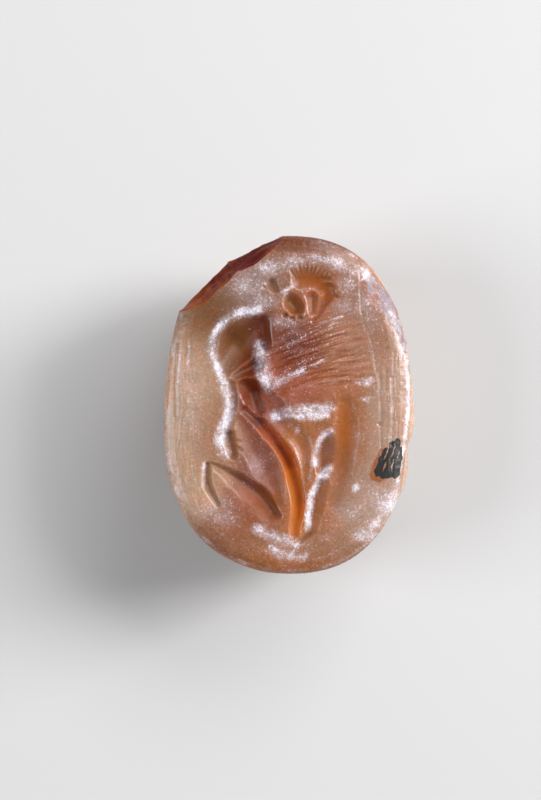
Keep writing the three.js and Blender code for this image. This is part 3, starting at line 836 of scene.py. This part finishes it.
def flake_wall(flake, side, down, seed):
    """How far out the broken wall stands, with the shell-like ripples of a struck flake."""
    t = (side - flake["shift"]) / flake["half"]
    slope = flake["flare"] * (1 - np.clip(t * flake["taper"], 0, 1) ** 1.5)
    wall = flake["distance"] - flake["hollow"] * (1 - t * t)
    wall = wall - slope * np.clip(1 - np.maximum(down, 0) / flake["run"], 0, 1)
    from_bulb = np.hypot(side - flake["shift"] + 0.3, down + 0.9)
    ripple = 0.03 * np.sin(from_bulb * 9) * np.exp(-from_bulb / 3)
    return wall + ripple + 0.06 * noise(side, down, 0.7, seed) + 0.025 * noise(side, down, 0.28, seed + 1)


def flake_cutter(flake, seed):
    out = math.radians(flake["angle"])
    down = np.concatenate([[-0.5], np.linspace(0, flake["drop"], 22)])
    rings = []
    for t in np.linspace(-1, 1, 41):
        side = flake["shift"] + t * flake["half"]
        wall = flake_wall(flake, np.full_like(down, side), down, seed)
        r = np.concatenate([wall, [13, 13]])
        z = HEIGHT - np.concatenate([down, [flake["drop"], -0.5]])
        x = r * math.cos(out) - side * math.sin(out)
        y = r * math.sin(out) + side * math.cos(out)
        rings.append(np.stack([x, y, z], -1))
    return skin(rings)


def ball(x, y, z, radius, sides):
    rings = []
    for k in range(1, sides // 2):
        lift = math.pi * k / (sides // 2)
        turn = 2 * np.pi * np.arange(sides) / sides
        ring = polar(turn, math.sin(lift), math.cos(lift))
        rings.append(np.array([x, y, z]) + radius * ring)
    return skin(rings)


def rod(radius, z, sides):
    turn = 2 * np.pi * np.arange(sides) / sides
    return skin([
        np.stack([radius * np.cos(turn), np.full(sides, along), z + radius * np.sin(turn)], -1)
        for along in (-15.0, 15.0)
    ])


stone = new_object("stone", *stone_mesh())
for leg in beetle_legs():
    boolean(stone, new_object("leg", *leg), "UNION")
boolean(stone, new_object("rod", *rod(BORE_RADIUS, BORE_Z, ROUND_SIDES)), "DIFFERENCE")
boolean(stone, new_object("scoop", *ball(*SCOOP_AT, SCOOP_RADIUS, ROUND_SIDES)), "DIFFERENCE")
for flake, seed in zip(FLAKES, FLAKE_SEEDS):
    boolean(stone, new_object("flake", *flake_cutter(flake, seed)), "DIFFERENCE")

# The stone's colours, among them painted glow along the thigh channel and painted shade in the chest and
# belly cuts
PALE = (162, 132, 112)
MARGIN = (172, 142, 116)
HONEY = (104, 64, 26)
AMBER = (96, 42, 2)
# A dark red that also paints shade in the chest and belly cuts
DARK_RED_AND_SHADE = (104, 42, 16)
EMBER = (114, 52, 24)
ROSE = (140, 98, 74)
CLAY = (138, 84, 46)
ORANGE = (152, 90, 32)
# Brightened orange and glow for the thigh channel: painted glow of light inside the stone
CHANNEL_GLOW_ORANGE = (180, 88, 16)
GLOW = (212, 132, 50)
UMBER = (104, 66, 42)
HAIR = (146, 82, 36)
LOBE = (118, 58, 32)
LEAF = (130, 70, 32)
GREY_ROSE = (132, 104, 92)
WING_TAN = (154, 106, 80)
RUST = (142, 68, 30)
TAN = (152, 92, 50)
SCAR_RED = (84, 12, 0)
SCAR_AMBER = (134, 58, 6)
FLANK = (128, 112, 120)
SPOTS = (124, 70, 40)
GROUND = (144, 102, 70)
SIDE = (152, 98, 56)
SIDE_PALE = (176, 152, 136)

# Where each colour sits on the face, as soft patches
TONES = [
    ((-5.2, 0.5), (1.2, 3.6), MARGIN),
    ((-5.0, -3.8), (1.0, 1.8), MARGIN),
    ((-4.0, -1.6), (0.9, 1.6), GROUND),
    ((-4.5, 4.9), (1.3, 1.5), HONEY),
    ((0.5, 8.3), (2.4, 0.5), AMBER),
    ((-1.6, 6.3), (1.3, 0.9), GREY_ROSE),
    ((0.5, 7.4), (2.0, 0.6), ROSE),
    ((0.3, 5.2), (0.7, 0.6), CLAY),
    ((-0.75, 6.05), (0.35, 0.3), CLAY),
    ((1.2, 6.4), (0.9, 0.6), HAIR),
    ((1.9, 5.8), (0.6, 0.5), HAIR),
    ((1.4, 5.0), (0.5, 0.6), HAIR),
    ((-2.8, 3.1), (0.7, 1.0), UMBER),
    # Dark red in the chest and belly cuts: the stone's deeper red with painted shade on the walls turned from
    # the light
    ((-1.3, 3.9), (0.5, 0.8), DARK_RED_AND_SHADE),
    ((-1.8, 2.2), (0.5, 0.5), DARK_RED_AND_SHADE),
    ((-1.7, 0.7), (0.6, 1.1), DARK_RED_AND_SHADE),
    ((-0.5, 1.4), (0.7, 1.3), RUST),
    ((0.3, 3.0), (1.1, 1.2), EMBER),
    ((0.8, 1.2), (1.2, 0.7), RUST),
    ((3.1, 3.2), (1.1, 1.2), WING_TAN),
    ((2.6, 1.2), (1.2, 0.7), TAN),
    ((-0.9, -0.6), (0.8, 0.7), EMBER),
    ((0.1, -1.9), (0.6, 1.0), ORANGE),
    ((0.3, -4.0), (0.5, 1.6), ORANGE),
    ((0.45, -4.6), (0.5, 1.7), ORANGE),
    ((-1.3, -2.9), (0.8, 1.1), LOBE),
    ((-1.4, -4.8), (1.2, 0.8), LEAF),
    ((0.7, -1.7), (0.8, 1.0), ORANGE),
    ((2.2, -2.2), (0.6, 0.9), CLAY),
    ((1.75, -4.9), (0.5, 1.2), ORANGE),
    ((3.0, -0.6), (0.7, 1.6), ORANGE),
    ((2.6, -3.8), (0.6, 1.2), CLAY),
    ((5.0, 0.4), (0.8, 2.6), PALE),
    ((3.9, -5.0), (1.4, 1.4), PALE),
    ((2.5, -6.8), (1.6, 0.8), GROUND),
    ((0.0, -8.0), (2.4, 0.6), ORANGE),
    ((-3.5, -6.4), (1.4, 0.9), CLAY),
    ((3.6, 5.6), (1.0, 1.0), ROSE),
    ((4.6, 4.0), (0.8, 1.6), GROUND),
]

# Colours that run along a cut, each with a half width; the two along the thigh channel are a painted glow of
# light inside the stone
TONE_LINES = [
    ([(-2.1, -0.15), (-1.25, -0.95), (-0.8, -1.4)], 0.42, EMBER),
    # Along the thigh channel the colour is brightened into a painted glow
    ([(-1.1, -1.1), (-0.45, -1.9), (-0.1, -2.4), (0.25, -3.4)], 0.5, CHANNEL_GLOW_ORANGE),
    ([(0.23, -3.25), (0.5, -4.75), (0.4, -6.2)], 0.4, GLOW),
    ([(1.95, -3.9), (1.65, -4.75), (1.35, -6.0)], 0.4, ORANGE),
    ([(2.15, -1.7), (2.05, -2.9)], 0.4, CLAY),
]


def linear(colour):
    c = np.array(colour, float) / 255
    return np.where(c <= 0.04045, c / 12.92, ((c + 0.055) / 1.055) ** 2.4)


def tones_at(x, y, z):
    """The stone's colour at each place, with painted glow along the thigh channel and painted shade in the
    chest and belly cuts.
    """
    total = np.full(len(x), 0.06)
    colour = total[:, None] * linear(GROUND)
    for at, radius, rgb in TONES:
        weight = blob(x, y, at, radius)
        total = total + weight
        colour = colour + weight[:, None] * linear(rgb)
    colour = colour / total[:, None]
    for path, half, rgb in TONE_LINES:
        weight = 0.8 * sweep(x, y, stroke(path, half, 1.0, soft=1.6))[:, None]
        colour = colour * (1 - weight) + linear(rgb) * weight
    below = np.clip((HEIGHT - 0.6 - z) / 1.5, 0, 1)[:, None]
    right = np.clip((x - 2.5) / 3, 0, 1)[:, None]
    low_colour = linear(SIDE) * (1 - right) + linear(SIDE_PALE) * right
    return colour * (1 - below) + low_colour * below


def scar_cover(x, y, z):
    """How much a place lies on one of the broken walls: dark on the left, pale on the right."""
    covers = []
    for flake, seed in zip(FLAKES, FLAKE_SEEDS):
        out = math.radians(flake["angle"])
        r = x * math.cos(out) + y * math.sin(out)
        side = y * math.cos(out) - x * math.sin(out)
        down = HEIGHT - z
        wall = flake_wall(flake, side, down, seed)
        near = np.clip(1.8 - np.abs(r - wall) / 0.04, 0, 1)
        within = (np.abs(side - flake["shift"]) < flake["half"]) & (down < flake["drop"] + 0.05)
        covers.append(near * within)
    return np.maximum(covers[0], covers[1]), np.maximum(covers[2], covers[3])


def attribute(mesh, name, values):
    layer = mesh.attributes.new(name, "FLOAT", "POINT")
    layer.data.foreach_set("value", np.asarray(values, np.float32))


def paint(thing):
    """Writes the colours with their painted glow and shade, the frosting with painted highlights, ink and
    scars. Returns where it is broken and how deep it is cut.
    """
    mesh = thing.data
    x, y, z = points_of(thing).astype(float).T
    fy = y + FIGURE_DOWN
    colour = tones_at(x, fy, z)
    dark, pale = scar_cover(x, y, z)
    amber = 0.5 * noise(x, y, 0.3, 51) + 0.4 * noise(x, y, 0.12, 52) + np.abs(x + 2.1) * 0.5 - 0.35
    amber = np.clip(amber, 0, 1)[:, None]
    scar = linear(SCAR_RED) * (1 - amber) + linear(SCAR_AMBER) * amber
    colour = colour * (1 - dark[:, None]) + scar * dark[:, None]
    spots = np.clip(1.8 * noise(x, y + z, 0.3, 53) + 1.2 * noise(x, y + z, 0.12, 54) + 0.1, 0, 1)[:, None]
    flank = linear(FLANK) * (1 - spots) + linear(SPOTS) * spots
    colour = colour * (1 - pale[:, None]) + flank * pale[:, None]
    layer = mesh.attributes.new("tone", "FLOAT_COLOR", "POINT")
    layer.data.foreach_set("color", np.hstack([colour, np.ones((len(x), 1))]).astype(np.float32).ravel())
    top = np.clip((z - (HEIGHT - 1.6)) / 0.4, 0, 1)
    inset = edge_at(np.arctan2(y, x)) - np.hypot(x, y)
    frost_and_highlight = np.maximum(frost_and_highlight_at(x, fy), rim_wear_and_highlight(x, y, inset))
    attribute(mesh, "frost_and_highlight", np.maximum(frost_and_highlight * top, 0.08 * (1 - top)) * (1 - dark) * (1 - 0.3 * pale))
    attribute(mesh, "ink", ink_cover(x, fy) * top)
    attribute(mesh, "halo", ink_halo(x, fy) * top)
    attribute(mesh, "wing", np.minimum(1, 1.5 * blob(x, fy, (1.3, 2.8), (2.0, 1.4))) * top)
    attribute(mesh, "pepper", np.minimum(1, 1.4 * blob(x, fy, (0.2, 3.1), (1.1, 1.2))) * top)
    attribute(mesh, "margin", np.clip(np.abs(x) - 4.2, 0, 1) * np.clip((5 - np.abs(fy)) / 2, 0, 1) * top)
    sunk = (HEIGHT - bevel_drop(inset) - z) * top
    deep = np.clip((sunk - 0.05) / 0.4, 0, 1) * (1 - dark) * (1 - pale)
    attribute(mesh, "deep", deep)
    attribute(mesh, "scar", np.maximum(dark, 0.6 * pale))
    return dark, deep


broken, deep = paint(stone)

# Into metres and over the solid's box
points = points_of(stone)
low = points.min(0)
high = points.max(0)
box_low, box_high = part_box(NODE)
shift_x = (box_low.x + box_high.x) / 2 / MM - (low[0] + high[0]) / 2
shift_y = (box_low.y + box_high.y) / 2 / MM - (low[1] + high[1]) / 2
points = (points + np.array([shift_x, shift_y, 0])) * MM
stone.data.vertices.foreach_set("co", points.astype(np.float32).ravel())
stone.data.update()
stone.name = "scarab_stone_worn"
for polygon in stone.data.polygons:
    polygon.use_smooth = True


class Nodes:
    """Short names for building a shader."""

    def __init__(self, tree):
        self.tree = tree

    def add(self, kind, **values):
        node = self.tree.nodes.new(kind)
        for name, value in values.items():
            setattr(node, name, value)
        return node

    def put(self, value, socket):
        if isinstance(value, bpy.types.NodeSocket):
            self.tree.links.new(value, socket)
        else:
            socket.default_value = value

    def attribute(self, name, output="Fac"):
        return self.add("ShaderNodeAttribute", attribute_name=name).outputs[output]

    def math(self, operation, *inputs, clamp=False):
        node = self.add("ShaderNodeMath", operation=operation, use_clamp=clamp)
        for k, value in enumerate(inputs):
            self.put(value, node.inputs[k])
        return node.outputs[0]

    def mix(self, factor, a, b, blend="MIX"):
        node = self.add("ShaderNodeMix", data_type="RGBA", blend_type=blend)
        self.put(factor, node.inputs["Factor"])
        self.put(a, node.inputs["A"])
        self.put(b, node.inputs["B"])
        return node.outputs["Result"]

    def blend(self, factor, a, b):
        node = self.add("ShaderNodeMix", data_type="FLOAT")
        self.put(factor, node.inputs["Factor"])
        self.put(a, node.inputs["A"])
        self.put(b, node.inputs["B"])
        return node.outputs["Result"]

    def scale(self, vector, by):
        node = self.add("ShaderNodeVectorMath", operation="SCALE")
        self.put(vector, node.inputs[0])
        self.put(by, node.inputs["Scale"])
        return node.outputs[0]

    def noise(self, vector, scale, detail=3.0, rough=0.55):
        node = self.add("ShaderNodeTexNoise")
        self.put(vector, node.inputs["Vector"])
        node.inputs["Scale"].default_value = scale
        node.inputs["Detail"].default_value = detail
        node.inputs["Roughness"].default_value = rough
        return node.outputs["Fac"]

    def ramp(self, value, low, high):
        node = self.add("ShaderNodeMapRange", interpolation_type="SMOOTHSTEP")
        self.put(value, node.inputs["Value"])
        self.put(low, node.inputs["From Min"])
        self.put(high, node.inputs["From Max"])
        return node.outputs["Result"]


# The tint of the cuts holds painted shade as well as the clearer stone in them
CUT_TINT_AND_SHADE = (1.03, 0.9, 0.58, 1)
GRAIN_COLOUR = (0.11, 0.022, 0.01, 1)
VEIL_COLOUR = (0.64, 0.60, 0.67, 1)
FROST_AND_HIGHLIGHT_COLOUR = (0.84, 0.81, 0.88, 1)
STAIN_COLOUR = (0.30, 0.09, 0.02, 1)
INK_COLOUR = (0.016, 0.015, 0.015, 1)


def carnelian(name, gloss, coat):
    """The stone's material, with the shine of its surface and of the polish over it."""
    material = bpy.data.materials.new(name)
    material.use_nodes = True
    tree = material.node_tree
    n = Nodes(tree)
    shader = tree.nodes["Principled BSDF"]
    mm = n.scale(n.add("ShaderNodeTexCoord").outputs["Object"], 1 / MM)

    broad = n.noise(mm, 0.45, 3)
    medium = n.noise(mm, 1.6, 4)
    fine = n.noise(mm, 7.0, 4, 0.65)
    grit = n.noise(mm, 16.0, 2, 0.7)

    # Deeper cuts get a warmer, darker tint: partly the clearer stone in them, partly painted shade
    tone = n.mix(n.attribute("deep"), n.attribute("tone", "Color"), CUT_TINT_AND_SHADE, "MULTIPLY")
    warm = n.mix(n.ramp(medium, 0.4, 0.72), tone, (1.12, 0.93, 0.78, 1), "MULTIPLY")
    mottled = n.mix(n.ramp(broad, 0.45, 0.7), warm, (1.06, 1.0, 0.95, 1), "MULTIPLY")
    contrast = n.blend(n.attribute("deep"), 0.1, 0.05)
    uneven = n.blend(n.ramp(n.noise(mm, 5.0, 5, 0.75), 0.35, 0.65), -1.0, 1.0)
    shade = n.math("ADD", 1.0, n.math("MULTIPLY", uneven, contrast))
    base = n.scale(mottled, shade)

    # Worn streaks that follow the feathers on the wing and the rim at the sides
    def streak(turn, scale):
        node = n.add("ShaderNodeMapping", vector_type="TEXTURE")
        n.put(mm, node.inputs["Vector"])
        node.inputs["Rotation"].default_value = (0, 0, math.radians(turn))
        node.inputs["Scale"].default_value = scale
        return n.ramp(n.noise(node.outputs[0], 1.0, 3, 0.6), 0.38, 0.62)

    wing_streak = n.math("SUBTRACT", streak(19, (1.3, 0.11, 1)), 0.5)
    side_streak = n.math("SUBTRACT", streak(91, (1.3, 0.12, 1)), 0.5)
    on_wing = n.math("MULTIPLY", n.attribute("wing"), wing_streak)
    on_side = n.math("MULTIPLY", n.attribute("margin"), side_streak)
    streaked = n.math("ADD", n.math("MULTIPLY", on_wing, 0.9), n.math("MULTIPLY", on_side, 0.35))
    base = n.scale(base, n.math("ADD", 1.0, n.math("MULTIPLY", streaked, 0.45)))

    # Dark red grains where the wing joins the shoulder
    grain = n.ramp(n.noise(mm, 8.5, 2, 0.6), 0.48, 0.58)
    peppered = n.math("MULTIPLY", grain, n.math("MULTIPLY", n.attribute("pepper"), 0.75))
    base = n.mix(peppered, base, GRAIN_COLOUR)

    # Pale weathering with painted highlights on lit walls, ridges and the rim: a thin veil, and specks that
    # crowd together where there is more of it
    clumps = n.blend(n.ramp(medium, 0.3, 0.7), 0.72, 1.22)
    amount = n.math("MULTIPLY", n.attribute("frost_and_highlight"), clumps)
    amount = n.math("ADD", amount, n.math("MULTIPLY", streaked, 0.38), clamp=True)
    limit = n.math("SUBTRACT", 0.64, n.math("MULTIPLY", amount, 0.2))
    speck = n.math("ADD", n.math("MULTIPLY", fine, 0.4), n.math("MULTIPLY", grit, 0.6))
    frost_and_highlight = n.ramp(speck, limit, n.math("ADD", limit, n.blend(amount, 0.04, 0.12)))
    clear = n.math("SUBTRACT", 0.8, n.math("MULTIPLY", n.attribute("wing"), 0.55))
    veil = n.math("MULTIPLY", n.math("POWER", amount, 2.0), clear)
    veiled = n.mix(veil, base, VEIL_COLOUR)
    cover = n.math("MULTIPLY", frost_and_highlight, n.blend(amount, 0.4, 0.9))
    frosted_and_highlit = n.mix(cover, veiled, FROST_AND_HIGHLIGHT_COLOUR)

    # Old worn ink, with a brown stain beside it
    wear = n.math("MULTIPLY", n.math("SUBTRACT", fine, 0.5), 0.7)
    worn_ink = n.ramp(n.math("ADD", n.attribute("ink"), wear), 0.3, 0.55)
    stain = n.ramp(n.math("ADD", n.attribute("halo"), wear), 0.15, 0.7)
    stained = n.mix(n.math("MULTIPLY", stain, 0.85), frosted_and_highlit, STAIN_COLOUR)
    inked = n.mix(worn_ink, stained, INK_COLOUR)
    n.put(inked, shader.inputs["Base Color"])

    scar = n.attribute("scar")
    rough = n.blend(frost_and_highlight, n.blend(fine, 0.2, 0.36), 0.55)
    dull = n.math("MAXIMUM", n.attribute("deep"), n.attribute("wing"))
    rough = n.math("ADD", rough, n.math("MULTIPLY", dull, 0.12))
    rough = n.blend(scar, rough, 0.45)
    rough = n.blend(worn_ink, rough, 0.42)
    n.put(rough, shader.inputs["Roughness"])
    shader.inputs["IOR"].default_value = 1.54
    shader.inputs["Subsurface Weight"].default_value = 0.8
    shader.inputs["Subsurface Radius"].default_value = (1.0, 0.72, 0.45)
    shader.inputs["Subsurface Scale"].default_value = 0.0013
    shader.inputs["Specular IOR Level"].default_value = gloss
    shader.inputs["Coat Weight"].default_value = coat
    shader.inputs["Coat Roughness"].default_value = 0.12

    bump = n.add("ShaderNodeBump")
    bump.inputs["Strength"].default_value = 0.6
    bump.inputs["Distance"].default_value = 0.00004
    height = n.math("ADD", n.math("MULTIPLY", fine, 0.5), n.math("MULTIPLY", grit, n.blend(frost_and_highlight, 0.2, 0.8)))
    n.put(height, bump.inputs["Height"])
    n.put(bump.outputs["Normal"], shader.inputs["Normal"])
    return material


# The finish of each kind of face: its name, the shine of the surface and of the polish over it
FINISHES = [("carnelian_worn", 0.45, 0.1), ("carnelian_cut", 0.15, 0.0), ("carnelian_broken", 0.05, 0.0)]
WORN, CUT, BROKEN = range(3)
stone.data.materials.clear()
for finish in FINISHES:
    stone.data.materials.append(carnelian(*finish))
for polygon in stone.data.polygons:
    corners = list(polygon.vertices)
    kind = CUT if deep[corners].mean() > 0.03 else WORN
    polygon.material_index = BROKEN if broken[corners].mean() > 0.5 else kind
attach(stone, "root")
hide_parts(NODE)

# The table, the light and the camera
floor = new_object("floor", [(-0.4, -0.4, 0), (0.4, -0.4, 0), (0.4, 0.4, 0), (-0.4, 0.4, 0)], [(0, 1, 2, 3)])
paper = bpy.data.materials.new("pale_table")
paper.use_nodes = True
paper.node_tree.nodes["Principled BSDF"].inputs["Base Color"].default_value = (0.6, 0.6, 0.6, 1)
paper.node_tree.nodes["Principled BSDF"].inputs["Roughness"].default_value = 0.9
floor.data.materials.append(paper)

MIDDLE = Vector((shift_x * MM, shift_y * MM, HEIGHT * MM))
LIGHT_DISTANCE = 0.3


def softbox(name, direction, size, power, colour):
    light = bpy.data.lights.new(name, "AREA")
    light.shape = "RECTANGLE"
    light.size = size[0]
    light.size_y = size[1]
    light.energy = power
    light.color = colour
    lamp = bpy.data.objects.new(name, light)
    bpy.context.scene.collection.objects.link(lamp)
    back = Vector(direction).normalized()
    lamp.location = MIDDLE + back * LIGHT_DISTANCE
    lamp.rotation_mode = "QUATERNION"
    lamp.rotation_quaternion = (-back).to_track_quat("-Z", "Y")


softbox("key", (1.0, 0.3, 0.58), (0.1, 0.22), 1.08, (1.0, 0.98, 0.97))
softbox("top", (0.7, 0.8, 1.0), (0.25, 0.12), 0.5, (0.97, 0.98, 1.0))
softbox("left", (-1.0, -0.1, 0.75), (0.15, 0.2), 0.5, (0.97, 0.98, 1.0))

world = bpy.data.worlds.new("studio")
world.use_nodes = True
world.node_tree.nodes["Background"].inputs["Color"].default_value = (0.95, 0.97, 1.0, 1)
world.node_tree.nodes["Background"].inputs["Strength"].default_value = 0.2
bpy.context.scene.world = world
bpy.context.scene.view_settings.view_transform = "Standard"

# The photo's frame is 27 by 40 mm at the face, a little left of and above the stone's middle
FRAME_HEIGHT = 40.0
AIM = (-0.87, 0.245)
LENS = 110.0
SENSOR = 36.0
camera_data = bpy.data.cameras.new("camera")
camera_data.lens = LENS
camera_data.sensor_width = SENSOR
camera_data.clip_start = 0.01
camera_data.clip_end = 2.0
camera = bpy.data.objects.new("camera", camera_data)
bpy.context.scene.collection.objects.link(camera)
distance = FRAME_HEIGHT * MM * LENS / SENSOR
camera.location = MIDDLE + Vector((AIM[0] * MM, AIM[1] * MM, distance))
bpy.context.scene.camera = camera
